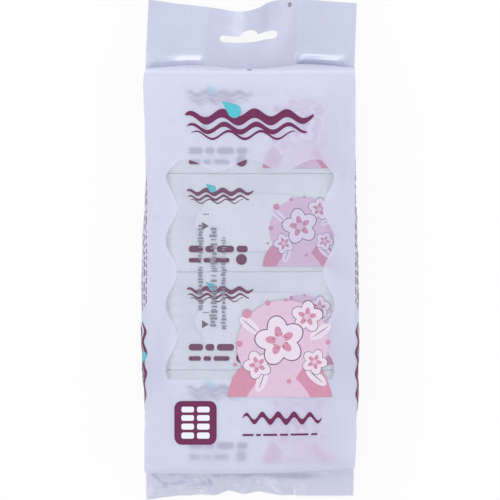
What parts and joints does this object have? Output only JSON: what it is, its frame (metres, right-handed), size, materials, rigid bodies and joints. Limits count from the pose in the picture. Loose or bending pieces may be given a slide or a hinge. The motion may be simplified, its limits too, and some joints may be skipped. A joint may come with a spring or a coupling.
{
  "type": "wet wipes multipack",
  "caption": "Gusseted bag of milky film with a hang slot in its header, holding rows of sealed pocket packs of wet wipes behind a clear wavy window.",
  "frame": {"origin": "under the middle of the whole, on the surface that the multipack lies on", "axes": "+Z out of the front panel, +Y towards the header with the hang slot, +X to the right of the front panel"},
  "size_m": [0.146, 0.337, 0.0447],
  "materials": {
    "bag_film": "milky translucent polyethylene film, soft gloss, with a clear wavy window",
    "pack_film": "opaque white printed flow-wrap film, soft gloss",
    "label_film": "white printed film sticker, gloss"
  },
  "bodies": {
    "root": {"outer_bag": "bag_film", "pocket_pack_front_1": "pack_film", "pocket_pack_front_2": "pack_film", "pocket_pack_front_3": "pack_film", "pocket_pack_front_4": "pack_film", "pocket_pack_back_1": "pack_film", "pocket_pack_back_2": "pack_film", "pocket_pack_back_3": "pack_film", "pocket_pack_back_4": "pack_film", "reseal_label_front_1": "label_film", "reseal_label_front_2": "label_film", "reseal_label_front_3": "label_film", "reseal_label_front_4": "label_film", "reseal_label_back_1": "label_film", "reseal_label_back_2": "label_film", "reseal_label_back_3": "label_film", "reseal_label_back_4": "label_film"}
  },
  "joints": []
}
